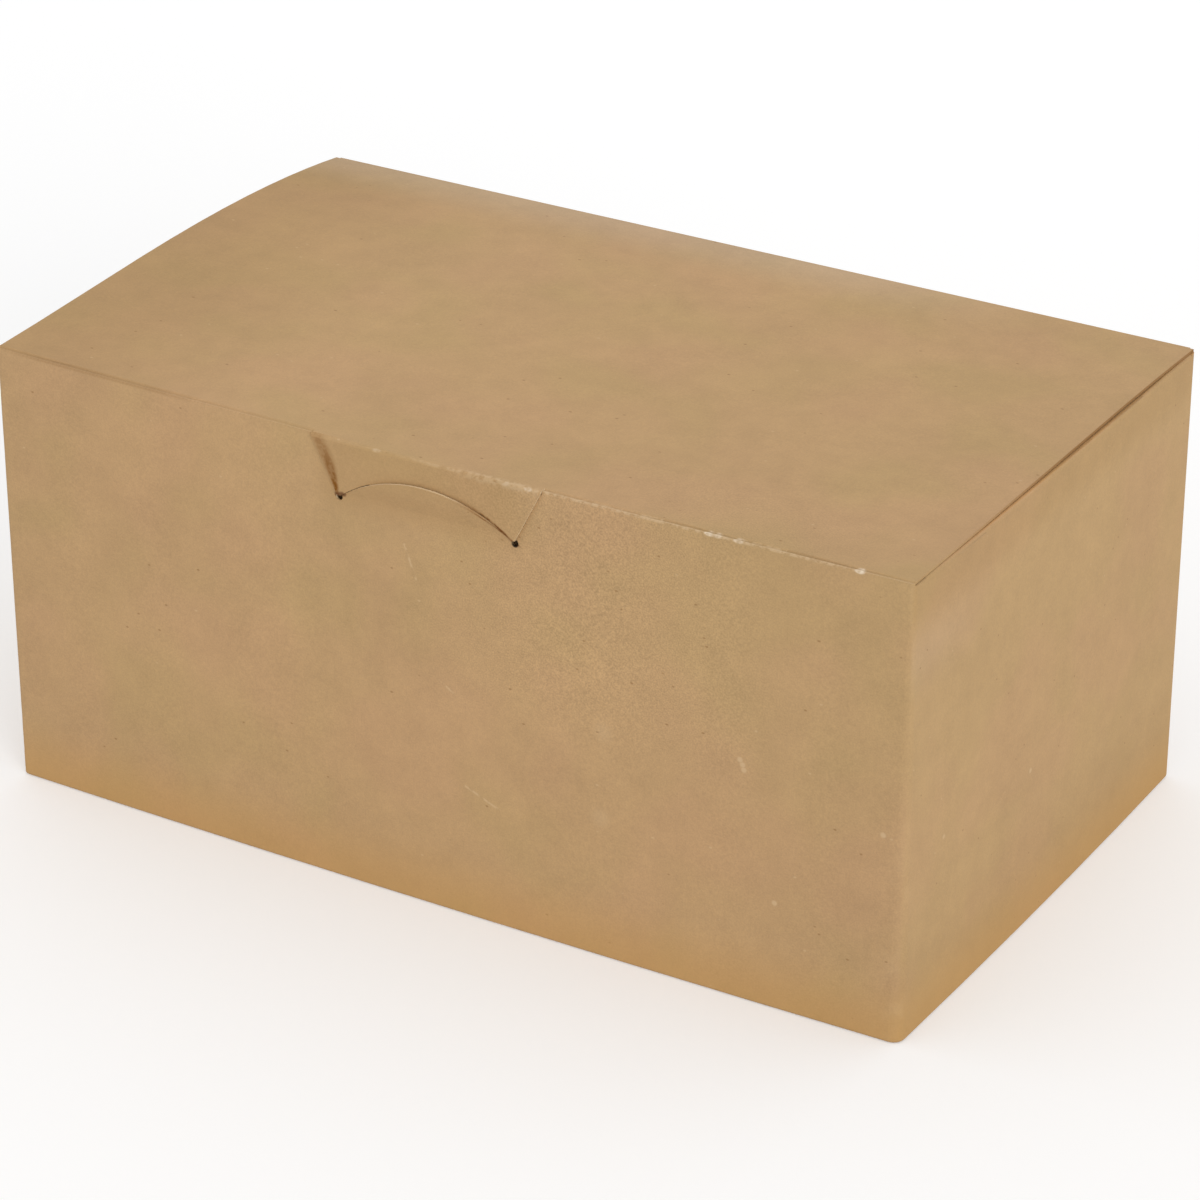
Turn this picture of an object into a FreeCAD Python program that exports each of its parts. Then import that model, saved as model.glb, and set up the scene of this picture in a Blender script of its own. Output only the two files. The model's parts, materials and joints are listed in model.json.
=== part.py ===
"""Fast food box: one blank of kraft board, creased, glued and folded shut.

The lid turns about the crease along the top of the back wall. Its tuck flap slides down inside the front
wall, and a tongue cut from that flap stays outside it. The tongue's tip goes behind a half-moon flap,
which an arched slit frees from the front wall, and this keeps the lid shut.

Frame: millimetres, +X to the right along the front, +Y to the back, +Z up. The origin is on the floor
under the middle of the box.
"""
import FreeCAD, Part
import math
import os

V = FreeCAD.Vector
UP = V(0, 0, 1)

# ---------------------------------------------------------------- driving sizes
board = 0.5              # thickness of the kraft board
box_length = 216.0       # along the front, corner to corner
box_width = 128.0        # front corner to back corner
box_height = 102.0       # floor to the top of the lid's two folds

fold_inside = 0.25       # inside radius of a crease
corner_inside = 0.8      # inside radius of the upright corners
pressed_inside = 2.1     # inside radius of the front right corner at the floor, where it is pressed in
front_bow = 1.2          # swell of the front wall at its middle
end_bow = 0.7            # swell of each end wall at its middle

slide_gap = 0.12         # room between the tuck flap and the wall that it slides past
seat_gap = 0.12          # room between the lid and the walls and flaps that it closes over
hinge_gap = 0.05         # room between the lid's back edge and the rounded top of the back wall
front_drop = 0.1         # how far the front wall's raw edge stays below the top of the lid

crown_left = 2.7         # height of the lid's crown at its left edge
crown_right = 0.45       # and at its right edge
crown_left_shape = (0.5, 0.98, 0.93)   # the crown at each quarter of the width, as a share of its height
crown_right_shape = (0.1, 0.5, 1.0)
crown_start = 2.2        # flat strip between the front corner line and the crown
lid_side_gap = 0.3       # how far the lid's side edges stop short of the corners

tuck_depth = 23.0        # reach of the tuck flap below the lid
tuck_side = 0.8          # step in from the lid's side edge to the tuck flap
tuck_taper = 3.0         # how much narrower each side of the tuck flap is at its foot
tuck_round = 12.0        # radius of the tuck flap's lower corners

lock_shift = -0.3        # middle of the lock, from the middle of the front
tongue_half_top = 27.0   # half width of the tongue at the fold
tongue_gap = 0.06        # room between the tongue and the wall behind it
tongue_rest = 0.3        # room under the tongue's fold, where it passes over the wall
tongue_side = 0.15       # room beside it there
arch_half = 20.8         # half width of the arched slit
arch_foot = 12.9         # depth of the slit's two ends below the lid
arch_crown = 5.5         # depth of the slit's highest point
slit_width = 0.12        # width of the slit
slit_end_radius = 0.8    # round stop at each end of the slit
moon_root = 0.8          # upright part of the half-moon flap, above its root
moon_ramp = 3.6          # height over which it stands out from the wall
moon_bend = 3.5          # radius of its two soft bends
moon_lean = 0.3          # how much further out its top edge leans
pocket_gap = 0.08        # room between the tongue and the half-moon flap in front of it
tip_room = 0.3           # room below the tongue's tip

dust_length = 48.0       # reach of each dust flap over the food space
dust_notch = 4.6         # from the front corner to the dust flap's side
dust_back_gap = 2.0      # from the back wall to the dust flap's other side
dust_taper = 9.0         # how much narrower each side of a dust flap is at its tip
dust_round = 8.0         # radius of a dust flap's two free corners
dust_droop = 0.8         # how far its tip hangs

glue_width = 14.0        # glue flap, inside the back left corner
glue_end = 3.0           # its ends stop short of the floor and of the wall's top
glue_slope = 2.5         # slant of its two ends

minor_depth = 47.0       # reach of the two inner floor flaps, from the end walls
minor_tip = 22.0         # half width of an inner floor flap at its tip
seam_reach = 16.0        # the floor's two outer flaps pass the middle line by this much
seam_half = 18.0         # half length of the slanted stretch where they cross
seam_width = 0.6         # gap between their edges
seam_lap = 14.0          # width of the lap on the inside of the seam
lap_round = 2.0          # radius of the lap's corners

# ---------------------------------------------------------------- what follows from them
half_length = box_length / 2
back_y = (box_width + front_bow) / 2            # outer face of the back wall
corner_y = back_y - box_width                   # front corners
front_y = corner_y - front_bow                  # middle of the front wall, the furthest point
end_x = half_length + end_bow                   # middle of an end wall
end_mid_y = back_y - box_width / 2

lid_mid_z = box_height - board / 2              # middle of the lid's board
wall_top_z = box_height - board - seat_gap      # top of the back and end walls, under the lid
front_top_z = box_height - front_drop           # raw top edge of the front wall, in front of the lid
bend = fold_inside + board / 2                  # radius of a crease, at the middle of the board
crease_reach = 2 * bend                         # how far a crease's rounding reaches along the board
lid_strip = crown_start + front_bow             # the lid's flat strip, from the middle of the front wall
far = 2 * (box_length + box_width + box_height)  # longer than anything here


def swell_radius(chord, rise):
    """Radius of the arc that rises by `rise` over a chord."""
    return (chord ** 2 / 4 + rise ** 2) / (2 * rise)


front_radius = swell_radius(box_length, front_bow)
end_radius = swell_radius(box_width, end_bow)
arch_radius = swell_radius(2 * arch_half, arch_foot - arch_crown)


# ---------------------------------------------------------------- ways of working board
def line(a, b):
    return Part.LineSegment(a, b).toShape()


def arc(a, b, c):
    return Part.Arc(a, b, c).toShape()


def at_front(u, v):
    """A point of the front's drawing: u along the box, v up."""
    return V(u, 0, v)


def on_floor(u, v):
    """A point of the floor's drawing: u along the box, v to the back."""
    return V(u, v, 0)


def in_section(u, v):
    """A point of the cross-section at the middle of the box: u to the back, v up."""
    return V(0, u, v)


def die_cut(corners, place, start, depth):
    """A prism of a die-cut outline. Each corner is (u, v, radius), and the radius may be left out."""
    points = [place(corner[0], corner[1]) for corner in corners]
    edges = []
    ends = []
    for i, corner in enumerate(corners):
        before = (points[i - 1] - points[i]).normalize()
        after = (points[(i + 1) % len(points)] - points[i]).normalize()
        radius = corner[2] if len(corner) > 2 else 0
        if radius:
            half = before.getAngle(after) / 2
            middle = (before + after).normalize() * (radius / math.sin(half) - radius)
            reach = radius / math.tan(half)
            first = points[i] + before * reach
            last = points[i] + after * reach
            edges.append(arc(first, points[i] + middle, last))
            ends.append((first, last))
        else:
            ends.append((points[i], points[i]))
    for i in range(len(points)):
        edges.append(line(ends[i - 1][1], ends[i][0]))
    face = Part.Face(Part.Wire(Part.__sortEdges__(edges)))
    face.translate(start)
    return face.extrude(depth)


def board_section(path, normal, radius=bend):
    """The cut face of a creased board. `path` is the middle of the board, and `normal` is square to it."""
    runs = [(b - a).normalize() for a, b in zip(path, path[1:])]
    edges = []
    tips = []
    for side in (board / 2, -board / 2):
        here = path[0] + normal.cross(runs[0]) * side
        tips.append(here)
        for i, (before, after) in enumerate(zip(runs, runs[1:])):
            half = before.getAngle(after) / 2
            corner = path[i + 1]
            inward = (after - before).normalize()
            setback = radius * math.tan(half)
            middle = corner + inward * (radius / math.cos(half) - radius)
            a = corner - before * setback + normal.cross(before) * side
            b = middle + normal.cross((before + after).normalize()) * side
            c = corner + after * setback + normal.cross(after) * side
            edges.append(line(here, a))
            edges.append(arc(a, b, c))
            here = c
        last = path[-1] + normal.cross(runs[-1]) * side
        edges.append(line(here, last))
        tips.append(last)
    edges.append(line(tips[0], tips[2]))
    edges.append(line(tips[1], tips[3]))
    return Part.Face(Part.Wire(Part.__sortEdges__(edges)))


def along_front(section, half_span, middle=0.0):
    """Sweep a cross-section along the bowed front wall, `half_span` each way from `middle`."""
    pivot = V(0, front_y + front_radius, 0)
    start = math.degrees(math.asin((middle - half_span) / front_radius))
    end = math.degrees(math.asin((middle + half_span) / front_radius))
    section.rotate(pivot, UP, start)
    return section.revolve(pivot, UP, end - start)


def along_right_end(section, half_span):
    """Sweep a cross-section along the bowed right end wall."""
    pivot = V(end_x - end_radius, end_mid_y, 0)
    start = math.degrees(math.asin(half_span / end_radius))
    section.rotate(pivot, UP, -start)
    return section.revolve(pivot, UP, 2 * start)


def mirrored(shape):
    """The same shape at the other end of the box."""
    return shape.mirror(V(0, 0, 0), V(1, 0, 0))


def turned(shape):
    """The same shape half a turn round on the floor."""
    copy = shape.copy()
    copy.rotate(V(0, 0, 0), UP, 180)
    return copy


def block(x0, x1, y0, y1, z0, z1):
    return Part.makeBox(x1 - x0, y1 - y0, z1 - z0, V(x0, y0, z0))


# ---------------------------------------------------------------- walls and floor
def outline(inset):
    """Plan of the box: a straight back and three sides that swell, drawn `inset` inside the outer face."""
    front_left = V(-half_length, corner_y, 0)
    front_right = V(half_length, corner_y, 0)
    back_right = V(half_length, back_y, 0)
    back_left = V(-half_length, back_y, 0)
    wire = Part.Wire([
        arc(front_left, V(0, front_y, 0), front_right),
        arc(front_right, V(end_x, end_mid_y, 0), back_right),
        line(back_right, back_left),
        arc(back_left, V(-end_x, end_mid_y, 0), front_left),
    ])
    if inset:
        wire = wire.makeOffset2D(-inset)
    return Part.Face(wire)


def folded_tub(inset, floor_z):
    """A solid tub of that plan, its upright corners and floor creases rounded.

    The front right corner is rounder towards the floor, where the box has been pressed.
    """
    inside = board - inset
    tub = outline(inset).extrude(V(0, 0, front_top_z - floor_z))
    tub.translate(V(0, 0, floor_z))
    pressed_edge = V(half_length - inset, corner_y + inset, (floor_z + front_top_z) / 2)

    def nearest_first(edges):
        return sorted(edges, key=lambda e: e.CenterOfMass.distanceToPoint(pressed_edge))

    uprights = nearest_first(e for e in tub.Edges if abs(e.Vertexes[0].Z - e.Vertexes[-1].Z) > board)
    tub = tub.makeFillet(corner_inside + inside, uprights[1:])
    tub = tub.makeFillet(pressed_inside + inside, corner_inside + inside, nearest_first(tub.Edges)[:1])
    floor_edges = [e for e in tub.Edges if all(abs(v.Z - floor_z) < board / 10 for v in e.Vertexes)]
    return tub.makeFillet(fold_inside + inside, floor_edges)


def walls_and_floor():
    """The tub hollowed to one board.

    The back and end walls stop under the lid. The front wall stands higher, in front of the lid's fold, and
    has a shallow notch where the tongue's fold passes over it.
    """
    tub = folded_tub(0, 0).cut(folded_tub(board, board))
    inner_front = corner_y + board
    half_notch = tongue_half_top + tongue_side
    notch_z = box_height - board - tongue_rest
    lid_room = block(-far, far, inner_front, far, wall_top_z, far)
    notch = block(lock_shift - half_notch, lock_shift + half_notch, -far, inner_front, notch_z, far)
    return tub.cut([lid_room, notch])


def floor_seam():
    """The gap between the floor's two outer flaps, which hook past each other at the middle."""
    run_end = half_length - corner_inside - 2 * board
    route = [V(-run_end, seam_reach, 0), V(-seam_half, seam_reach, 0),
             V(seam_half, -seam_reach, 0), V(run_end, -seam_reach, 0)]
    pieces = []
    for a, b in zip(route, route[1:]):
        side = UP.cross((b - a).normalize()) * (seam_width / 2)
        edge = Part.makePolygon([a + side, b + side, b - side, a - side, a + side])
        pieces.append(Part.Face(edge).extrude(V(0, 0, board)))
    for joint in route:
        pieces.append(Part.makeCylinder(seam_width / 2, board, joint))
    return pieces[0].fuse(pieces[1:])


def inner_floor():
    """Second layer of the floor: a slanted flap from each end wall, and the lap behind the seam."""
    thickness = V(0, 0, board)
    depth_x = half_length - minor_depth
    base = box_width / 2 - corner_inside - board
    minor = die_cut([(end_x, end_mid_y - base), (end_x, end_mid_y + base),
                     (depth_x, end_mid_y + minor_tip, dust_round / 2),
                     (depth_x, end_mid_y - minor_tip, dust_round / 2)], on_floor, thickness, thickness)
    lap_x = -half_length + 2 * board
    lap_y = seam_reach + 2 * seam_width
    lap = die_cut([(lap_x, seam_reach - seam_lap), (-seam_width, seam_reach - seam_lap, lap_round),
                   (-seam_width, lap_y, lap_round), (lap_x, lap_y)], on_floor, thickness, thickness)
    crossing_x = seam_half + 2 * seam_width
    crossing = Part.makeCylinder(2 * seam_half, board, thickness)
    crossing = crossing.common(block(-crossing_x, crossing_x, -lap_y, lap_y, 0, far))
    layer = crossing.fuse([minor, mirrored(minor), lap, turned(lap)])
    return layer.common(folded_tub(board, board))


def glue_flap():
    """The strip that joins the blank's two ends, inside the back left corner."""
    edge = -half_length + board
    low = glue_end
    high = wall_top_z - glue_end
    free_edge = edge + glue_width
    outline = [(edge, low), (free_edge, low + glue_slope), (free_edge, high - glue_slope), (edge, high)]
    return die_cut(outline, at_front, V(0, back_y - 2 * board, 0), V(0, board, 0))


def back_crease():
    """The top of the back wall, rounded about the line that the lid turns on."""
    y0 = back_y - board
    y1 = back_y
    middle = (y0 + y1) / 2
    start = -half_length + corner_inside + board
    section = Part.Wire([
        line(V(start, y0, wall_top_z), V(start, y1, wall_top_z)),
        line(V(start, y1, wall_top_z), V(start, y1, lid_mid_z)),
        arc(V(start, y1, lid_mid_z), V(start, middle, box_height), V(start, y0, lid_mid_z)),
        line(V(start, y0, lid_mid_z), V(start, y0, wall_top_z)),
    ])
    return Part.Face(section).extrude(V(-2 * start, 0, 0))


def dust_flap():
    """The right dust flap, with the crease at the top of its end wall."""
    wall_x = end_x - board / 2
    flap_z = wall_top_z - board / 2
    start_z = flap_z - crease_reach
    path = [V(wall_x, end_mid_y, start_z), V(wall_x, end_mid_y, flap_z),
            V(wall_x - dust_length, end_mid_y, flap_z - dust_droop)]
    swept = along_right_end(board_section(path, V(0, 1, 0)), box_width / 2)
    front_side = corner_y + dust_notch
    back_side = back_y - dust_back_gap
    neck_x = half_length - crease_reach
    tip_x = end_x - dust_length + end_bow
    outside_x = end_x + board
    outline = [(outside_x, front_side), (outside_x, back_side), (neck_x, back_side),
               (tip_x, back_side - dust_taper, dust_round), (tip_x, front_side + dust_taper, dust_round),
               (neck_x, front_side)]
    shape = die_cut(outline, on_floor, V(0, 0, start_z), V(0, 0, box_height))
    inside_x = half_length - corner_inside - 2 * board
    notch = block(inside_x, outside_x, front_side, back_side, start_z, far)
    return swept.common(shape), notch


# ---------------------------------------------------------------- the lock in the front wall
def arch_window(grow):
    """The half-moon above the chord of the arched slit, its arc moved out by `grow`."""
    foot_z = box_height - arch_foot
    centre_z = box_height - arch_crown - arch_radius
    start = V(lock_shift, front_y - 2 * lid_strip, centre_z)
    disc = Part.makeCylinder(arch_radius + grow, 4 * lid_strip, start, V(0, 1, 0))
    return disc.common(block(-far, far, -far, far, foot_z, far))


def half_moon():
    """The flap that the slit frees. It stands out in a soft bend to make a pocket for the tongue."""
    wall_mid = front_y + board / 2
    out = 2 * board + tongue_gap + pocket_gap
    foot_z = box_height - arch_foot
    path = [in_section(wall_mid, foot_z), in_section(wall_mid, foot_z + moon_root),
            in_section(wall_mid - out, foot_z + moon_root + moon_ramp),
            in_section(wall_mid - out - moon_lean, box_height - arch_crown)]
    swept = along_front(board_section(path, V(1, 0, 0), moon_bend), arch_half, lock_shift)
    return swept.common(arch_window(-slit_width / 2))


def slit_stops():
    """Round stops that keep the slit from tearing at its two ends."""
    stops = []
    for side in (-1, 1):
        start = V(lock_shift + side * arch_half, front_y - board, box_height - arch_foot)
        stops.append(Part.makeCylinder(slit_end_radius, 3 * board, start, V(0, 1, 0)))
    return stops


def make_box_body():
    flap, notch = dust_flap()
    body = walls_and_floor().cut([floor_seam(), notch, mirrored(notch), arch_window(slit_width / 2)])
    body = body.fuse([inner_floor(), glue_flap(), back_crease(), flap, mirrored(flap), half_moon()])
    return body.cut(slit_stops()).removeSplitter()


# ---------------------------------------------------------------- the lid
def tongue_cut(grow, start, depth):
    """A prism of the tongue's outline, `grow` larger all round.

    Its sides slant in to the slit's two ends. Its lower edge follows the slit, and in the middle the tip
    reaches below it.
    """
    ear_z = box_height - arch_foot + slit_width + slit_end_radius / 2 - grow
    tip_z = box_height - arch_foot + moon_root + moon_ramp + tip_room - grow
    half_top = tongue_half_top + grow
    half_ear = arch_half + slit_width + grow
    top_z = box_height + board
    sides = die_cut([(lock_shift - half_top, top_z), (lock_shift - half_top, box_height - board),
                     (lock_shift - half_ear, ear_z), (lock_shift + half_ear, ear_z),
                     (lock_shift + half_top, box_height - board), (lock_shift + half_top, top_z)],
                    at_front, start, depth)
    below_tip = block(-far, far, -far, far, 0, tip_z)
    return sides.cut(arch_window(slit_width / 2 - grow).common(below_tip))


def lid_panel():
    """The crowned top of the lid, lofted from its left edge to its right edge."""
    start_y = corner_y + crown_start
    end_y = back_y - board - hinge_gap
    lid_half = half_length - lid_side_gap

    def edge_profile(x, crown, shape):
        steps = len(shape) + 1
        rises = [0] + [crown * share for share in shape] + [0]
        top = [V(x, start_y + (end_y - start_y) * i / steps, box_height + r) for i, r in enumerate(rises)]
        under = [p - V(0, 0, board) for p in top]
        curves = []
        for points in (top, under):
            spline = Part.BSplineCurve()
            spline.interpolate(points)
            curves.append(spline.toShape())
        return Part.Wire([curves[0], line(top[-1], under[-1]), curves[1], line(under[0], top[0])])

    left = edge_profile(-lid_half, crown_left, crown_left_shape)
    right = edge_profile(lid_half, crown_right, crown_right_shape)
    return Part.makeLoft([left, right], True, True)


def front_fold(path, half_span, middle):
    """A board folded down from the lid's flat strip and swept along the front."""
    swept = along_front(board_section(path, V(1, 0, 0)), half_span, middle)
    return swept.cut(block(-far, far, front_y + lid_strip, far, wall_top_z, far))


def tuck_flap():
    """The front fold and the flap that slides down inside the front wall.

    A board that turns about the back crease swings outwards as it rises, by about the square of its depth
    over twice the lid's width, so the flap leans in by that much and the slide gap.
    """
    flap_y = front_y + board + slide_gap + board / 2
    lean = tuck_depth ** 2 / (2 * box_width) + slide_gap
    path = [in_section(flap_y + 2 * lid_strip, lid_mid_z), in_section(flap_y, lid_mid_z),
            in_section(flap_y + lean, box_height - tuck_depth)]
    lid_half = half_length - lid_side_gap
    flap_half = lid_half - tuck_side
    under_lid = box_height - board
    right = [(lid_half, box_height + board), (lid_half, under_lid), (flap_half, under_lid),
             (flap_half - tuck_taper, box_height - tuck_depth - board, tuck_round)]
    left = [(-corner[0],) + corner[1:] for corner in reversed(right)]
    start = V(0, front_y, 0)
    reach = V(0, 4 * lid_strip, 0)
    flap = front_fold(path, half_length, 0).common(die_cut(right + left, at_front, start, reach))
    window = tongue_cut(slit_width / 2, start, reach)
    return flap.cut(window.common(block(-far, far, -far, far, 0, under_lid)))


def lock_tongue():
    """The tongue left outside when the tuck flap goes in. It follows the outer face of the front wall."""
    tongue_y = front_y - tongue_gap - board / 2
    path = [in_section(tongue_y + 2 * lid_strip, lid_mid_z), in_section(tongue_y, lid_mid_z),
            in_section(tongue_y, box_height - arch_foot)]
    start = V(0, front_y - 2 * lid_strip, 0)
    reach = V(0, 4 * lid_strip, 0)
    return front_fold(path, tongue_half_top + board, lock_shift).common(tongue_cut(0, start, reach))


def make_lid():
    return lid_panel().fuse([tuck_flap(), lock_tongue()]).removeSplitter()


# ---------------------------------------------------------------- write the pieces
os.makedirs("parts", exist_ok=True)
for name, shape in (("box_body", make_box_body()), ("lid", make_lid())):
    box = shape.optimalBoundingBox()
    print(f"{name}: {len(shape.Solids)} solid, valid {shape.isValid()}, {shape.Volume / 1000:.2f} cm3, "
          f"{box.XLength:.1f} x {box.YLength:.1f} x {box.ZLength:.1f} mm")
    shape.exportStep(f"parts/{name}.step")
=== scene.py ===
# %% [markdown]
# # A kraft board food box
#
# This lesson dresses one folded carton for a close look. The board itself is already folded: the frame
# brings in two solids, the box with its walls and floor, and the lid that turns about the back crease.
# What is left for Blender is the finish. Kraft board looks plain, and that is why it is hard: a single
# brown reads as plastic at once. The real board is cloudy, it has fibres and specks in it, its folds are
# rubbed pale, and its cut edges are lighter than its faces. Each of those gets its own step below.

# %% Load the frame and measure it
import json
import math

import bmesh
import bpy
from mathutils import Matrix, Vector


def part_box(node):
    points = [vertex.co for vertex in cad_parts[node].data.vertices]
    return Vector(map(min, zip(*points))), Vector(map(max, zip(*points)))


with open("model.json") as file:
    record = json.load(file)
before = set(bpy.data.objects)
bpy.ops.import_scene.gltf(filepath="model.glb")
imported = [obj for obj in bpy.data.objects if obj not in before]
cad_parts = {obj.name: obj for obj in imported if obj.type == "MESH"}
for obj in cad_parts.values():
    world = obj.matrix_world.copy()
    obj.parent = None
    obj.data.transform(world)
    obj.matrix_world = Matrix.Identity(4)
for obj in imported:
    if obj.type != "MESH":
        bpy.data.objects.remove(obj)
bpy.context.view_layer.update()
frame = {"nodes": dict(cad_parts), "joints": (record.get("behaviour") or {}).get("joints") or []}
carton = frame["nodes"]["box_body"]
lid = frame["nodes"]["lid"]
MM = 0.001

body_low, body_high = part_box("box_body")
lid_low, lid_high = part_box("lid")
hinge = frame["joints"][0]["pos_m"]
print("box", [round(v / MM, 1) for v in (body_high - body_low)], "mm, lid",
      [round(v / MM, 1) for v in (lid_high - lid_low)], "mm, crease at", hinge)

# %% [markdown]
# ## The camera
#
# A small box looks like itself only from the right distance. Close up, its far corner shrinks too much,
# and from far away it looks like a drawing. This camera stands about a metre off with a long lens. It is
# turned by its azimuth and elevation, so the numbers say what a photographer would do: step to the right
# of the front, and look down.

# %% Camera
AZIMUTH = math.radians(30.85)
ELEVATION = math.radians(26.85)
LENS_MM = 133.95
SENSOR_MM = 36
STAND_OFF_MM = 956.5
RIGHT_STEP_MM = 0.95
DOWN_STEP_MM = 7.23
BOX_MIDDLE_MM = (0, 0.6, 51)

back = Vector((math.sin(AZIMUTH) * math.cos(ELEVATION), -math.cos(AZIMUTH) * math.cos(ELEVATION),
               math.sin(ELEVATION)))
right = Vector((math.cos(AZIMUTH), math.sin(AZIMUTH), 0))
up = back.cross(right)
from_middle = back * STAND_OFF_MM + right * RIGHT_STEP_MM - up * DOWN_STEP_MM

camera_data = bpy.data.cameras.new("camera")
camera_data.lens = LENS_MM
camera_data.sensor_width = SENSOR_MM
camera = bpy.data.objects.new("camera", camera_data)
camera.location = (Vector(BOX_MIDDLE_MM) + from_middle) * MM
camera.rotation_euler = back.to_track_quat("Z", "Y").to_euler()
bpy.context.scene.collection.objects.link(camera)
bpy.context.scene.camera = camera
print("camera at", [round(v, 3) for v in camera.location])

# %% [markdown]
# ## Helpers for materials
#
# A material here is a tree of small nodes. Writing each node out takes five lines, so a few helpers keep
# the steps readable. `add` makes one node and fills its inputs: a socket is linked, and a plain value is
# set. `calc` and `vector` are the same for the Math and the Vector Math node. A renderer works through
# every node for every ray, so the steps share their noises and use one Vector Math node where they can.

# %% Node helpers
def add(tree, kind, settings=None, **inputs):
    """One node. Its inputs go by their names, with underscores for spaces."""
    made = tree.nodes.new("ShaderNode" + kind)
    for name, value in (settings or {}).items():
        setattr(made, name, value)
    for name, value in inputs.items():
        fill(tree, made.inputs[name.replace("_", " ")], value)
    return made


def fill(tree, socket, value):
    """A socket is linked, and a plain value is set."""
    if isinstance(value, bpy.types.NodeSocket):
        tree.links.new(value, socket)
    else:
        socket.default_value = value


def calc(tree, operation, *values):
    """The result of one Math node."""
    made = add(tree, "Math", {"operation": operation})
    for socket, value in zip(made.inputs, values):
        fill(tree, socket, value)
    return made.outputs[0]


def vector(tree, operation, *values):
    """The result of one Vector Math node."""
    made = add(tree, "VectorMath", {"operation": operation})
    for socket, value in zip(made.inputs, values):
        fill(tree, socket, value)
    return made.outputs["Value" if operation in ("DISTANCE", "DOT_PRODUCT") else "Vector"]


def times(tree, first, *others):
    """All of these multiplied together."""
    for other in others:
        first = calc(tree, "MULTIPLY", first, other)
    return first


def extreme(tree, operation, first, *others):
    """The largest of these with MAXIMUM, the smallest with MINIMUM."""
    for other in others:
        first = calc(tree, operation, first, other)
    return first


def ramp(tree, value, start, end):
    """0 at `start`, 1 at `end` and smooth between. `start` may be the larger of the two."""
    falling = start > end
    made = add(tree, "MapRange", {"interpolation_type": "SMOOTHSTEP"}, Value=value, From_Min=min(start, end),
               From_Max=max(start, end), To_Min=float(falling), To_Max=float(not falling))
    return made.outputs["Result"]


def within(tree, value, start, end, soft):
    """1 between two places, with soft ends."""
    middle, half = (start + end) / 2, (end - start) / 2
    away = calc(tree, "ABSOLUTE", calc(tree, "SUBTRACT", value, middle))
    return ramp(tree, away, half + soft, half - soft)


def noise(tree, place, size, detail=1.0, output="Fac"):
    """A noise whose lumps are about `size` across."""
    made = add(tree, "TexNoise", Vector=place, Scale=1 / size, Detail=detail, Roughness=0.55)
    return made.outputs[output]


def tint(tree, amount, base, colour):
    """`base` with `colour` laid over it by `amount`."""
    made = add(tree, "Mix", {"data_type": "RGBA"})
    tree.links.new(amount, made.inputs["Factor"])
    tree.links.new(base, made.inputs["A"])
    made.inputs["B"].default_value = (*colour, 1)
    return made.outputs["Result"]


def srgb(red, green, blue):
    """A colour as a paint chart gives it, 0 to 255, made linear for the shader."""
    return tuple(((v / 255 + 0.055) / 1.055) ** 2.4 for v in (red, green, blue))


print("mid grey 128 is", round(srgb(128, 128, 128)[0], 3), "to the shader")

# %% [markdown]
# ## Where a point of the board is
#
# Each layer of the finish asks the same few questions: where is this point of the board, which way does it
# face, and is it on the outside of the front wall? The place comes from Object coordinates, which are the
# real size of the box, and the way it faces from the Normal output beside them. Both turn with the piece,
# so a fleck stays on the lid when the lid turns. The front wall is bowed outwards by 1.2 mm over its
# 216 mm, and `behind_front` counts from that curved face.

# %% The places on the board
HALF_LENGTH_MM, FRONT_BOW_MM = 108, 1.2
FRONT_Y_MM = -64.6
FRONT_RADIUS_MM = (HALF_LENGTH_MM ** 2 + FRONT_BOW_MM ** 2) / (2 * FRONT_BOW_MM)
TOP_MM = 102
BOARD_MM = 0.5
MOTTLE_MM, SAND_MM, DUST_MM = 6, 1.0, 0.34


def on_front_wall(x, z):
    """A point of the front wall's outer face, in metres, from its millimetres across and up."""
    return Vector((x, FRONT_Y_MM + x * x / (2 * FRONT_RADIUS_MM), z)) * MM


class Spot:
    """Where a point of the board is, which way it faces, and the noises that the layers share."""

    def __init__(self, tree):
        coordinates = add(tree, "TexCoord")
        self.place = coordinates.outputs["Object"]
        self.x, self.y, self.z = add(tree, "SeparateXYZ", Vector=self.place).outputs
        facing = add(tree, "SeparateXYZ", Vector=coordinates.outputs["Normal"])
        self.to_right, self.to_back, self.to_top = facing.outputs
        self.seen_from_front = vector(tree, "MULTIPLY", self.place, (1, 0, 1))

        bow = times(tree, self.x, self.x, 1 / (2 * FRONT_RADIUS_MM * MM))
        self.behind_front = calc(tree, "SUBTRACT", self.y, calc(tree, "ADD", bow, FRONT_Y_MM * MM))
        self.at_front = calc(tree, "LESS_THAN", self.behind_front, 4 * BOARD_MM * MM)
        outside = calc(tree, "LESS_THAN", self.behind_front, BOARD_MM / 2 * MM)
        self.on_front = times(tree, ramp(tree, self.to_back, -0.35, -0.75), outside)
        self.on_end = ramp(tree, self.to_right, 0.5, 0.9)
        self.on_top = ramp(tree, self.to_top, 0.5, 0.9)

        self.mottle = noise(tree, self.place, MOTTLE_MM * MM)
        self.sand = noise(tree, self.place, SAND_MM * MM)
        self.dust = noise(tree, self.place, DUST_MM * MM, 0)
        self.patchy = ramp(tree, self.sand, 0.38, 0.6)


print("front wall: bowed to a radius of", round(FRONT_RADIUS_MM * MM, 2), "m, right corner at",
      [round(v / MM, 1) for v in on_front_wall(HALF_LENGTH_MM, 0)])

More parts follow.
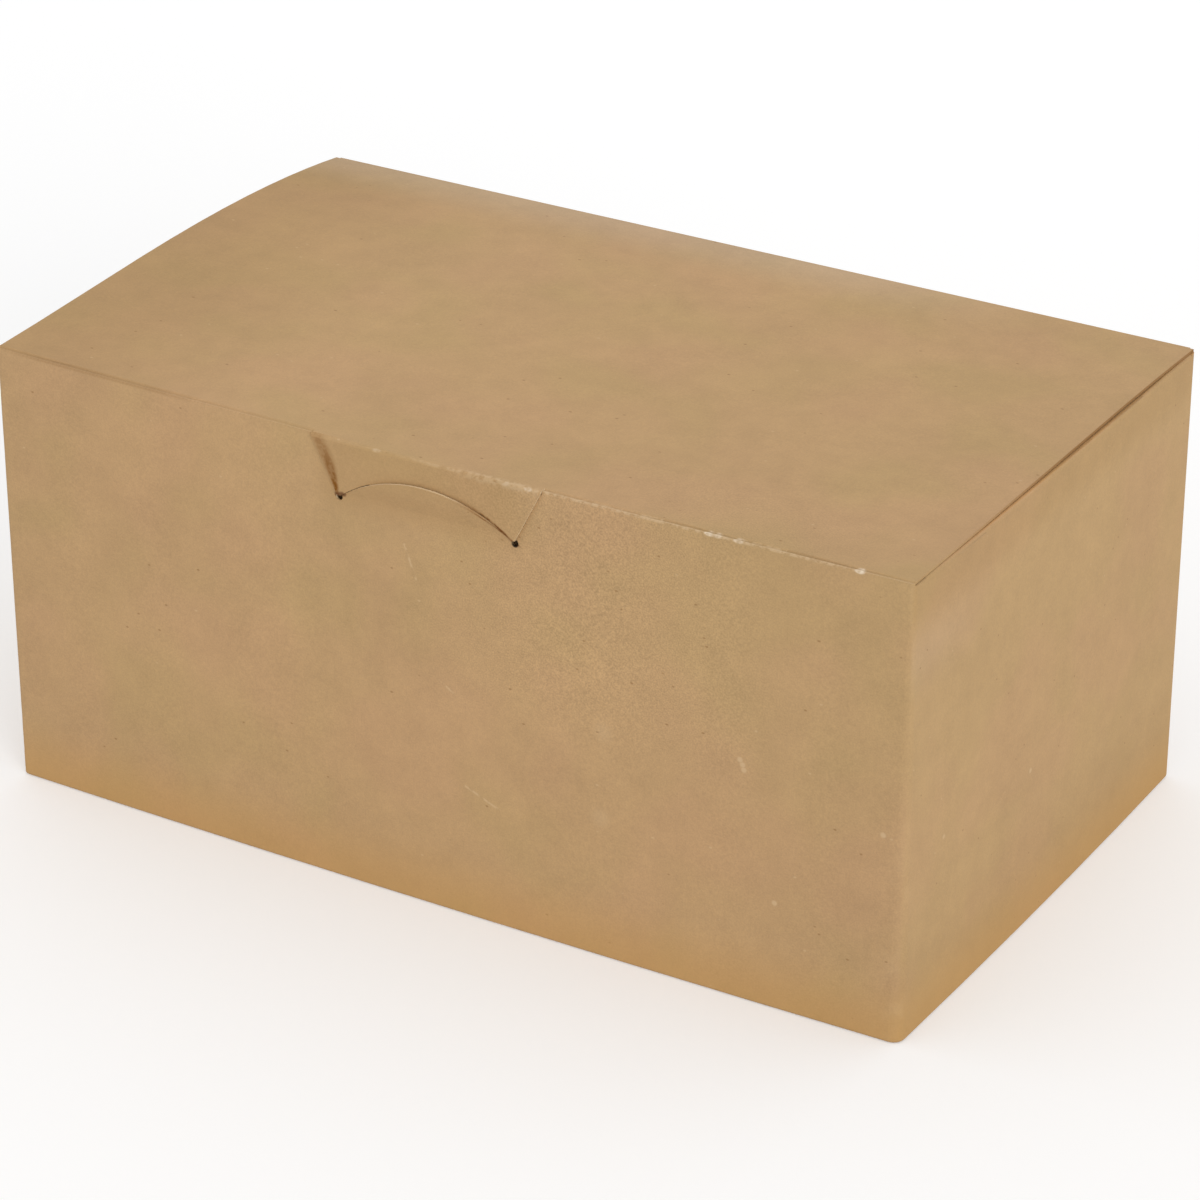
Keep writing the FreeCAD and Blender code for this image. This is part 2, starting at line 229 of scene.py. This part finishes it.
# %% [markdown]
# ## The board's own colour
#
# Brown kraft is unbleached pulp, and its colour wanders: wide, soft clouds from the paper machine, a finer
# mottling, and a sandy grain on top. Each layer moves the brightness by only a few percent, because more
# than that looks like stone. The clouds also drift a little between a pinker and a greener brown, and a
# painted shade makes the board a little darker towards the box's two ends. Some places have a tint of their
# own: the left of the top is darker and browner, and so is the end wall close under the lid and at its foot.
# The back of the top is paler and greyer, and so, faintly, is the end wall's upper front corner. The upper
# front wall, from the lock to the right, is the roughest, because fingers have raised its grain there, and
# so a little is the top beside it.

# %% Clouds, mottling and grain
KRAFT = srgb(187, 152, 109)
GREENER = srgb(179, 151, 102)
PINKER = srgb(190, 150, 112)
DARKER_BROWN = srgb(168, 133, 86)
HAZY = srgb(196, 176, 152)
CLOUD_MM = 28
CLOUD_SWING, MOTTLE_SWING = 0.14, 0.14
SAND_SWING, DUST_SWING = 0.11, 0.14
ROUGHER_SAND, ROUGHER_DUST = 0.3, 1.6
END_SHADE = 0.035


def swing(tree, noise_value, amount, middle):
    """A noise turned into a swing about `middle`, by `amount` for its whole range."""
    return calc(tree, "MULTIPLY_ADD", noise_value, amount, calc(tree, "SUBTRACT", middle, amount / 2))


def drifting_brown(tree, spot, clouds):
    """Brown board that drifts between a greener and a pinker brown. The end wall is the greener one."""
    colour = add(tree, "RGB").outputs[0]
    colour.default_value = (*KRAFT, 1)
    green = extreme(tree, "MAXIMUM", ramp(tree, clouds[1], 0.42, 0.66), times(tree, spot.on_end, 0.8))
    colour = tint(tree, times(tree, green, 0.36), colour, GREENER)
    return tint(tree, times(tree, ramp(tree, clouds[2], 0.44, 0.66), 0.34), colour, PINKER)


def local_tints(tree, spot, colour):
    """The places painted darker and browner, and the places painted paler and greyer."""
    left_top = times(tree, ramp(tree, spot.x, -40 * MM, -104 * MM), spot.on_top, 0.35)
    colour = tint(tree, left_top, colour, DARKER_BROWN)
    off_right = ramp(tree, spot.x, 80 * MM, 20 * MM)
    hazy_back = times(tree, ramp(tree, spot.y, 44 * MM, 66 * MM), off_right, spot.on_top, 0.36)
    hazy_height = within(tree, spot.z, 80 * MM, 90 * MM, 6 * MM)
    hazy_corner = times(tree, ramp(tree, spot.y, -24 * MM, -58 * MM), hazy_height, spot.on_end, 0.12)
    colour = tint(tree, extreme(tree, "MAXIMUM", hazy_back, hazy_corner), colour, HAZY)
    end_top = times(tree, ramp(tree, spot.z, 88 * MM, 97 * MM), spot.on_end, 0.35)
    end_foot = times(tree, ramp(tree, spot.z, 30 * MM, 8 * MM), spot.on_end, 0.25)
    return tint(tree, extreme(tree, "MAXIMUM", end_top, end_foot), colour, DARKER_BROWN)


def raised_grain(tree, spot):
    """Where fingers have raised the grain: right of the lock, and on the top beside it."""
    across_front = within(tree, spot.x, 6 * MM, 68 * MM, 18 * MM)
    front_patch = times(tree, spot.on_front, across_front, ramp(tree, spot.z, 42 * MM, 66 * MM))
    near_fold = ramp(tree, spot.y, -38 * MM, -52 * MM)
    beside_patch = within(tree, spot.x, 48 * MM, 92 * MM, 12 * MM)
    top_patch = times(tree, spot.on_top, near_fold, beside_patch, 0.5)
    return extreme(tree, "MAXIMUM", front_patch, top_patch)


def board_colour(tree, spot):
    """The colour of clean board, with a painted shade towards the ends, and how rough the board is here."""
    clouds = add(tree, "SeparateColor", Color=noise(tree, spot.place, CLOUD_MM * MM, 1, "Color")).outputs
    colour = local_tints(tree, spot, drifting_brown(tree, spot, clouds))

    rough = raised_grain(tree, spot)
    sandy = calc(tree, "MULTIPLY_ADD", spot.on_front, ROUGHER_SAND, 1.0)
    sandy = calc(tree, "MULTIPLY_ADD", rough, ROUGHER_SAND, sandy)
    dusty = calc(tree, "MULTIPLY_ADD", rough, ROUGHER_DUST, sandy)
    sand = times(tree, swing(tree, spot.sand, SAND_SWING, 0.0), sandy)
    grain = calc(tree, "MULTIPLY_ADD", swing(tree, spot.dust, DUST_SWING, 0.0), dusty, sand)
    # Painted shade: every face but the end wall is a little darker towards the box's two ends.
    outwards = ramp(tree, calc(tree, "ABSOLUTE", spot.x), 45 * MM, 104 * MM)
    off_end = calc(tree, "SUBTRACT", 1.0, spot.on_end)
    shaded = calc(tree, "MULTIPLY_ADD", off_end, times(tree, outwards, -END_SHADE), 1.0)
    value = swing(tree, spot.mottle, MOTTLE_SWING, calc(tree, "ADD", grain, shaded))
    value = swing(tree, clouds[0], CLOUD_SWING, value)
    return add(tree, "HueSaturation", Color=colour, Value=value).outputs[0], rough


print("clouds", CLOUD_MM, "mm wide, mottling", MOTTLE_MM, "mm, sand", SAND_MM, "mm, dust", DUST_MM, "mm")

# %% [markdown]
# ## Flecks
#
# Bits of bark and pale slivers of fibre are scattered in the sheet, about one in every two square
# centimetres. A Voronoi texture gives each cell one point, and the distance to that point draws a fleck
# where the point lies close to the face of the board. The coordinates are squeezed along the sheet's
# grain, so the flecks are slivers. Only some of the cells keep theirs: a low random colour makes a dark
# one, and a high one makes a pale one. The rough part of the board has more dark ones.

# %% Specks and slivers
BARK = srgb(138, 101, 62)
PALE_FIBRE = srgb(206, 176, 137)
FLECK_CELL_MM, FLECK_MM = 2.6, 0.6
BARK_SHARE, BARK_SHARE_ROUGH = 0.15, 0.35
PALE_SHARE = 0.1


def with_flecks(tree, spot, colour, rough):
    """Dark bark and pale slivers laid over the board."""
    laid = add(tree, "Mapping", Vector=spot.place, Rotation=(0.3, 0.2, 0.25), Scale=(0.6, 1, 1))
    cells = add(tree, "TexVoronoi", Vector=laid.outputs[0], Scale=1 / (FLECK_CELL_MM * MM))
    size = FLECK_MM / FLECK_CELL_MM
    near = ramp(tree, cells.outputs["Distance"], size / 2, size / 5)
    picked = add(tree, "SeparateColor", Color=cells.outputs["Color"]).outputs[0]
    share = calc(tree, "MULTIPLY_ADD", rough, BARK_SHARE_ROUGH, BARK_SHARE)
    colour = tint(tree, times(tree, near, calc(tree, "LESS_THAN", picked, share), 0.6), colour, BARK)
    pale = calc(tree, "GREATER_THAN", picked, 1 - PALE_SHARE)
    return tint(tree, times(tree, near, pale, 0.5), colour, PALE_FIBRE)


print("flecks", FLECK_MM, "mm wide, one at most in each cell of", FLECK_CELL_MM, "mm")

# %% [markdown]
# ## Scratches and chips
#
# A few light scratches cross the front wall, and small chips of the outer ply are missing from the front
# and from the right end. A scratch is a short line: the nodes find how far a point of the board is from
# it. A chip is a point, and so is a smudge, which is wider and fainter. The sandy noise lets a scratch
# skip, as a fingernail does on rough board.

# %% Scratches and chips
SCRATCHES = (((-5.7, 82.4), (-3.0, 75.0)), ((1.5, 54.1), (5.8, 51.3)), ((8.1, 30.7), (16.2, 27.4)))
FRONT_CHIPS = ((71.6, 54.6), (72.2, 53.6), (72.5, 52.5), (79.8, 24.5), (103.1, 46.6))
SMUDGES = ((40.6, 52.3), (40.0, 32.5))
END_X_MM = 108.6
END_CHIPS = ((-9.2, 36.6), (-47.4, 39.9))


def line_distance(tree, place, start, end):
    """How far a point is from the line between two points."""
    length = (end - start).length
    along = (end - start) / length
    from_start = vector(tree, "SUBTRACT", place, start)
    run = vector(tree, "DOT_PRODUCT", from_start, along)
    kept = extreme(tree, "MINIMUM", extreme(tree, "MAXIMUM", run, 0.0), length)
    return vector(tree, "DISTANCE", from_start, vector(tree, "MULTIPLY", kept, along))


def with_scratches(tree, spot, colour):
    """The scratches, chips and smudges laid over the board."""
    lines = [line_distance(tree, spot.place, on_front_wall(*start), on_front_wall(*end))
             for start, end in SCRATCHES]
    on_line = ramp(tree, extreme(tree, "MINIMUM", *lines), 0.36 * MM, 0.1 * MM)
    scratched = times(tree, on_line, spot.patchy, 0.6)
    places = [on_front_wall(*chip) for chip in FRONT_CHIPS]
    places += [Vector((END_X_MM, *chip)) * MM for chip in END_CHIPS]
    chips = [vector(tree, "DISTANCE", spot.place, place) for place in places]
    chipped = times(tree, ramp(tree, extreme(tree, "MINIMUM", *chips), 0.8 * MM, 0.35 * MM), 0.65)
    smudges = [vector(tree, "DISTANCE", spot.place, on_front_wall(*place)) for place in SMUDGES]
    smudged = times(tree, ramp(tree, extreme(tree, "MINIMUM", *smudges), 3.2 * MM, 0.6 * MM), 0.2)
    return tint(tree, extreme(tree, "MAXIMUM", scratched, chipped, smudged), colour, PALE_FIBRE)


print(len(SCRATCHES), "scratches,", len(FRONT_CHIPS) + len(END_CHIPS), "chips and", len(SMUDGES), "smudges")

# %% [markdown]
# ## Wear, painted highlight and painted shade on the front fold
#
# This is the fold that every hand touches. Its top ply is rubbed through, and the paler pulp shows as a thin
# line on the lid's fold and on the raw edge of the front wall beside it. The rub starts in the middle of
# the lock, is widest on the lock's right half, where the pale is partly rub and partly a painted highlight
# of the round fold catching light, and ends short of the right corner. Towards the left corner the fold is
# painted dark as shade in the seam. A few torn spots are paler still.

# %% Rubs on the front fold
RUBBED_AND_LIT = srgb(216, 189, 152)
TORN = srgb(238, 221, 196)
CREASE_SHADE = srgb(158, 121, 78)
TORN_SPOTS = ((-11.6, 0.3), (18.6, 0.3), (23.8, 0.45), (64.0, 0.75), (65.8, 0.5), (70.4, 0.5), (96.4, 0.8))
SPOT_SQUEEZE = 0.6
LOCK_X_MM, TONGUE_HALF_MM = -0.3, 27.0
TUCKED_MM = 0.62


def fold_wear_and_shading(tree, spot, colour, outside_mm):
    """The rubbed and torn places, a painted highlight on the round fold and a painted shade in the seam. The
    tongue's fold lies `outside_mm` in front of the wall's face.

    Beside the tongue the lid's fold is tucked behind the wall, `TUCKED_MM` from that face.
    """
    behind = calc(tree, "ADD", spot.behind_front, outside_mm * MM)
    if outside_mm:
        off_lock = calc(tree, "ABSOLUTE", calc(tree, "SUBTRACT", spot.x, LOCK_X_MM * MM))
        beside_tongue = calc(tree, "GREATER_THAN", off_lock, (TONGUE_HALF_MM + 0.3) * MM)
        behind = calc(tree, "MULTIPLY_ADD", beside_tongue, -(outside_mm + TUCKED_MM) * MM, behind)
    across = add(tree, "CombineXYZ", X=0.0, Y=behind, Z=spot.z).outputs[0]
    far = vector(tree, "DISTANCE", across, (0, 0, TOP_MM * MM))
    lock_to_corner = within(tree, spot.x, -4 * MM, 94 * MM, 6 * MM)
    # Partly rubbed pulp and partly a painted highlight, where the round fold of the tongue catches light.
    round_fold_span = within(tree, spot.x, 9 * MM, 25 * MM, 4 * MM)
    thin = times(tree, ramp(tree, far, 0.62 * MM, 0.36 * MM), lock_to_corner, 0.4)
    wide = times(tree, ramp(tree, far, 1.9 * MM, 0.4 * MM), round_fold_span, 0.45)
    rubbed = times(tree, extreme(tree, "MAXIMUM", thin, wide), spot.patchy)
    colour = tint(tree, rubbed, colour, RUBBED_AND_LIT)

    squeezed = add(tree, "CombineXYZ", X=times(tree, spot.x, SPOT_SQUEEZE), Y=behind, Z=spot.z).outputs[0]
    spots = []
    for x, strength in TORN_SPOTS:
        from_spot = vector(tree, "DISTANCE", squeezed, (SPOT_SQUEEZE * x * MM, 0, TOP_MM * MM))
        spots.append(times(tree, ramp(tree, from_spot, 0.85 * MM, 0.4 * MM), strength))
    torn = times(tree, extreme(tree, "MAXIMUM", *spots), calc(tree, "MULTIPLY_ADD", spot.patchy, 0.5, 0.5))
    colour = tint(tree, torn, colour, TORN)

    # Painted shade: the seam along the left part of the fold is painted dark.
    close = ramp(tree, far, 0.85 * MM, 0.35 * MM)
    dark = times(tree, close, within(tree, spot.x, -102 * MM, -60 * MM, 8 * MM), 0.4)
    return tint(tree, dark, colour, CREASE_SHADE)


print(len(TORN_SPOTS), "torn spots on the fold, from x", TORN_SPOTS[0][0], "to", TORN_SPOTS[-1][0], "mm")

# %% [markdown]
# ## Painted shade at the lock
#
# The lock's shade is painted on as colour, on two lines, where its gaps would cast a shadow. The tongue's
# left edge has a soft brown band of painted shade, wide and faint at the fold, narrow and dark at the slit's
# end. The right half of the arched slit gets a painted shade that darkens towards its end, where the stop
# is painted nearly black as shadow. The tongue itself is painted a little darker, as it lies in shade. The
# other cut edges of the lock are painted pale: partly the pale inside of the sheet, and partly painted light
# that lifts the thin shadow of the gaps. The arc here is the slit's own, from its crown, its feet and its
# half width. The painted shade has no blue at all: mixed by half into the board's brown it stays a warm
# brown, where a greyer colour would look like pencil. The band is part of a ring about a point to its left,
# because the tongue's edge that casts it is a little bowed.

# %% Painted shade and pale edges of the lock
SHADE_BROWN = srgb(122, 73, 0)
DEEP_SHADE_BROWN = srgb(86, 40, 2)
STOP_SHADOW = srgb(30, 18, 9)
PALE_EDGE_AND_LIFT = srgb(230, 206, 168)
ARCH_CROWN_MM, ARCH_FOOT_MM, ARCH_HALF_MM = 96.5, 89.1, 20.8
ARCH_RISE_MM = ARCH_CROWN_MM - ARCH_FOOT_MM
ARCH_RADIUS_MM = (ARCH_HALF_MM ** 2 + ARCH_RISE_MM ** 2) / (2 * ARCH_RISE_MM)
BAND_CENTRE, BAND_RADIUS_MM = (-49.6, 85.5), 28.6
HOOK = ((-21.6, 89.5), (-20.0, 90.0))
STOP = (20.5, 88.9)


def seen_at(x, z):
    """A point of the front as it is seen from straight ahead."""
    return Vector((x, 0, z)) * MM


def cut_edges(tree, spot, colour, from_arc, above_foot):
    """The pale inside of the sheet on the slit's clean half and on the tongue's right edge, partly painted
    light that lifts the thin shadow in the gaps.
    """
    cut = ramp(tree, spot.to_back, -0.9, -0.6)
    clean = times(tree, ramp(tree, from_arc, 0.9 * MM, 0.5 * MM), cut, ramp(tree, spot.x, 12 * MM, 4 * MM))
    right_side = times(tree, spot.on_end, within(tree, spot.x, 20 * MM, 28 * MM, 1 * MM))
    # Partly the pale cut edge and partly painted light that evens out the dark lines of the gaps.
    pale = times(tree, extreme(tree, "MAXIMUM", clean, right_side), spot.at_front, above_foot, 0.8)
    return tint(tree, pale, colour, PALE_EDGE_AND_LIFT)


def painted_shade_band(tree, spot, above_foot):
    """The painted shade at the tongue's left edge, wide and faint at the fold, narrow and dark below."""
    from_centre = vector(tree, "DISTANCE", spot.seen_from_front, seen_at(*BAND_CENTRE))
    off = calc(tree, "ABSOLUTE", calc(tree, "SUBTRACT", from_centre, BAND_RADIUS_MM * MM))
    half_band = calc(tree, "MULTIPLY_ADD", ramp(tree, spot.z, 90 * MM, 99 * MM), 1.3 * MM, 1.0 * MM)
    deepening = calc(tree, "MULTIPLY_ADD", ramp(tree, spot.z, 102 * MM, 91 * MM), 0.44, 0.46)
    beside = within(tree, spot.x, -30 * MM, -20.5 * MM, 0.5 * MM)
    broken = calc(tree, "MULTIPLY_ADD", spot.patchy, 0.35, 0.75)
    across = ramp(tree, calc(tree, "DIVIDE", off, half_band), 1.0, 0.15)
    return times(tree, across, deepening, broken, beside, above_foot)


def lock_lines(tree, spot, colour):
    """The lock's pale cut edges, its painted shade, and its stop painted nearly black as shadow."""
    ahead = spot.seen_from_front
    from_centre = vector(tree, "DISTANCE", ahead, seen_at(LOCK_X_MM, ARCH_CROWN_MM - ARCH_RADIUS_MM))
    from_arc = calc(tree, "ABSOLUTE", calc(tree, "SUBTRACT", from_centre, ARCH_RADIUS_MM * MM))
    above_foot = ramp(tree, spot.z, (ARCH_FOOT_MM - 1) * MM, ARCH_FOOT_MM * MM)
    colour = cut_edges(tree, spot, colour, from_arc, above_foot)

    # Painted shade: the tongue is painted a little darker, as it lies in shade.
    across_lock = within(tree, spot.x, -25 * MM, 22 * MM, 5 * MM)
    tongue_shade = times(tree, across_lock, ramp(tree, spot.z, 84 * MM, 91 * MM), spot.on_front, 0.36)
    colour = tint(tree, tongue_shade, colour, DARKER_BROWN)

    # Painted shade: the band at the tongue's left edge, the hook below it and the right half of the slit.
    band = painted_shade_band(tree, spot, above_foot)
    hook = ramp(tree, line_distance(tree, ahead, seen_at(*HOOK[0]), seen_at(*HOOK[1])), 0.9 * MM, 0.3 * MM)
    skipping = calc(tree, "MULTIPLY_ADD", spot.patchy, 0.5, 0.45)
    on_arc = ramp(tree, from_arc, 0.65 * MM, 0.1 * MM)
    slit = times(tree, on_arc, ramp(tree, spot.x, 5 * MM, 17 * MM), above_foot, skipping)
    painted_shade = times(tree, extreme(tree, "MAXIMUM", band, slit), spot.on_front)
    colour = tint(tree, painted_shade, colour, SHADE_BROWN)
    slit_end = times(tree, slit, ramp(tree, spot.x, 11 * MM, 20 * MM))
    deepest_shade = times(tree, extreme(tree, "MAXIMUM", hook, slit_end), spot.on_front, 0.75)
    colour = tint(tree, deepest_shade, colour, DEEP_SHADE_BROWN)

    # Painted shadow: the stop at the slit's right end is painted nearly black.
    stop = ramp(tree, vector(tree, "DISTANCE", ahead, seen_at(*STOP)), 0.95 * MM, 0.6 * MM)
    return tint(tree, times(tree, stop, spot.at_front, 0.95), colour, STOP_SHADOW)


print("the slit's arc: radius", round(ARCH_RADIUS_MM, 1), "mm, rise", round(ARCH_RISE_MM, 1), "mm")

# %% [markdown]
# ## Small marks by the edges
#
# Five more things are laid along the edges. The foot of the walls is a little warmer, a painted warm glow
# that stands in for light bounced from the floor. The front right corner has faint pale scuffs near the
# table.
# The raw edge of the front wall is cut, so it shows the paler inside of the sheet. The lid's right edge is
# painted brown as the shade of its seam over the end wall, from the back to the middle, and the wall's own
# top edge, which shows in the narrow gap under the lid, is painted a lighter, warmer brown that lifts the
# shadow there.

# %% Foot, corner, raw edge and lid edge
WARM_BOUNCE = srgb(194, 149, 86)
WARM_LIFT = srgb(214, 154, 78)
FOOT_MM = 17


def box_edges(tree, spot, colour):
    """The marks by the edges of the box, two of them painted light."""
    # Painted light: a warm glow at the foot stands in for light bounced from the floor.
    foot = times(tree, ramp(tree, spot.z, FOOT_MM * MM, 0.0), ramp(tree, spot.to_top, -0.9, -0.5), 0.5)
    colour = tint(tree, foot, colour, WARM_BOUNCE)

    low_corner = times(tree, ramp(tree, spot.z, 60 * MM, 20 * MM), ramp(tree, spot.y, -61 * MM, -62.5 * MM),
                       ramp(tree, spot.x, 103 * MM, 107 * MM))
    scuffed = times(tree, low_corner, ramp(tree, spot.mottle, 0.42, 0.6), 0.07)
    colour = tint(tree, scuffed, colour, RUBBED_AND_LIT)

    raw = times(tree, ramp(tree, spot.z, 101.3 * MM, 101.6 * MM), ramp(tree, spot.to_top, 0.6, 0.9),
                ramp(tree, spot.x, -20 * MM, 10 * MM), 0.2)
    colour = tint(tree, raw, colour, PALE_FIBRE)
    # Painted light: the end wall's top strip under the lid is lighter and warmer, to lift its shadow.
    end_edge = ramp(tree, spot.x, 107.2 * MM, 107.6 * MM)
    wall_top_lift = times(tree, ramp(tree, spot.z, 101.2 * MM, 101.6 * MM), end_edge,
                     ramp(tree, spot.y, -62 * MM, -30 * MM), 0.9)
    return tint(tree, wall_top_lift, colour, WARM_LIFT)


def lid_edge(tree, spot, colour):
    """The lid's right edge, painted brown as the shade of its seam over the end wall."""
    # Painted shade: the seam is darker from the middle to the back, where the gap under the lid opens.
    to_the_back = ramp(tree, spot.y, -50 * MM, 10 * MM)
    seam_shade = times(tree, ramp(tree, spot.x, 107.5 * MM, 107.7 * MM), to_the_back, 0.62)
    return tint(tree, seam_shade, colour, SHADE_BROWN)


print("the foot is warm up to", FOOT_MM, "mm")

# %% [markdown]
# ## The finished board
#
# The layers now go together on one rough shader, and a Bump node gives the sandy noise a height of a few
# hundredths of a millimetre. The box alone has the scratches and the painted glow at the foot. The lid alone
# has the right edge painted brown as the seam's shade, and its tongue passes outside the wall, by the board's
# thickness and a little room.

# %% Board material
TONGUE_GAP_MM = 0.06
TONGUE_OUT_MM = BOARD_MM + TONGUE_GAP_MM
BUMP_MM = 0.05


def kraft_board(name, is_box):
    """The whole finish, for the box or for the lid."""
    material = bpy.data.materials.new(name)
    material.use_nodes = True
    tree = material.node_tree
    tree.nodes.clear()
    spot = Spot(tree)

    colour, rough = board_colour(tree, spot)
    colour = with_flecks(tree, spot, colour, rough)
    if is_box:
        colour = box_edges(tree, spot, with_scratches(tree, spot, colour))
    else:
        colour = lid_edge(tree, spot, colour)
    colour = fold_wear_and_shading(tree, spot, colour, 0 if is_box else TONGUE_OUT_MM)
    colour = lock_lines(tree, spot, colour)

    bump = add(tree, "Bump", Height=spot.sand, Strength=0.35, Distance=BUMP_MM * MM)
    shader = add(tree, "BsdfPrincipled", Base_Color=colour, Normal=bump.outputs[0],
                 Roughness=calc(tree, "MULTIPLY_ADD", spot.sand, 0.1, 0.78))
    shader.inputs["Specular IOR Level"].default_value = 0.3
    add(tree, "OutputMaterial", Surface=shader.outputs[0])
    return material


carton.material_slots[0].material = kraft_board("kraft_box", True)
lid.material_slots[0].material = kraft_board("kraft_lid", False)
for piece in (carton, lid):
    print(piece.name, "nodes in its material:", len(piece.material_slots[0].material.node_tree.nodes))

# %% [markdown]
# ## Light and floor
#
# The light is a bright, even room: a white world, and one wide soft lamp from the right that lets the
# lock's edge cast its short shadow to the left. The floor is pale. It has a faint glow that only the camera
# sees, so it looks white in the picture, lights the box no more than paper does, and still takes the
# box's shadow. The world is a little brighter to the camera too, so that no horizon shows behind the floor.

# %% Light and floor
WORLD_LEVEL = 0.888
LAMP_LEVEL = 0.721
LAMP_WIDTH = math.radians(24)
LAMP_FROM = Vector((0.762, -0.558, 0.327))
FLOOR_HALF = 3.0
FLOOR_WHITE, FLOOR_GLOW = 0.82, 0.22


def looked_at(tree):
    """1 for the rays that show this surface to the camera, straight or in a shiny thing."""
    path = add(tree, "LightPath").outputs
    return extreme(tree, "MAXIMUM", path["Is Camera Ray"], path["Is Glossy Ray"], path["Is Transmission Ray"])


world = bpy.data.worlds.new("even room")
world.use_nodes = True
room = world.node_tree.nodes["Background"]
room.inputs["Color"].default_value = (1, 1, 1, 1)
sky = world.node_tree
fill(sky, room.inputs["Strength"], calc(sky, "MULTIPLY_ADD", looked_at(sky), 1 - WORLD_LEVEL, WORLD_LEVEL))
bpy.context.scene.world = world

lamp_data = bpy.data.lights.new("soft lamp", "SUN")
lamp_data.energy = LAMP_LEVEL
lamp_data.angle = LAMP_WIDTH
lamp = bpy.data.objects.new("soft lamp", lamp_data)
lamp.rotation_euler = LAMP_FROM.to_track_quat("Z", "Y").to_euler()
bpy.context.scene.collection.objects.link(lamp)

floor_mesh = bpy.data.meshes.new("floor")
sheet = bmesh.new()
bmesh.ops.create_grid(sheet, x_segments=1, y_segments=1, size=FLOOR_HALF)
sheet.to_mesh(floor_mesh)
sheet.free()
floor = bpy.data.objects.new("floor", floor_mesh)
bpy.context.scene.collection.objects.link(floor)


def pale_floor():
    """White paper that shows a soft shadow."""
    material = bpy.data.materials.new("pale_floor")
    material.use_nodes = True
    tree = material.node_tree
    tree.nodes.clear()
    plain = add(tree, "BsdfDiffuse")
    plain.inputs["Color"].default_value = (FLOOR_WHITE, FLOOR_WHITE, FLOOR_WHITE, 1)
    glow = add(tree, "Emission")
    glow.inputs["Strength"].default_value = FLOOR_GLOW
    both = tree.nodes.new("ShaderNodeAddShader")
    tree.links.new(plain.outputs[0], both.inputs[0])
    tree.links.new(glow.outputs[0], both.inputs[1])
    pick = tree.nodes.new("ShaderNodeMixShader")
    tree.links.new(looked_at(tree), pick.inputs[0])
    tree.links.new(plain.outputs[0], pick.inputs[1])
    tree.links.new(both.outputs[0], pick.inputs[2])
    add(tree, "OutputMaterial", Surface=pick.outputs[0])
    return material


floor_mesh.materials.append(pale_floor())
bpy.context.scene.view_settings.view_transform = "Standard"
print("floor", 2 * FLOOR_HALF, "m wide, lamp", round(math.degrees(LAMP_WIDTH)), "degrees wide")
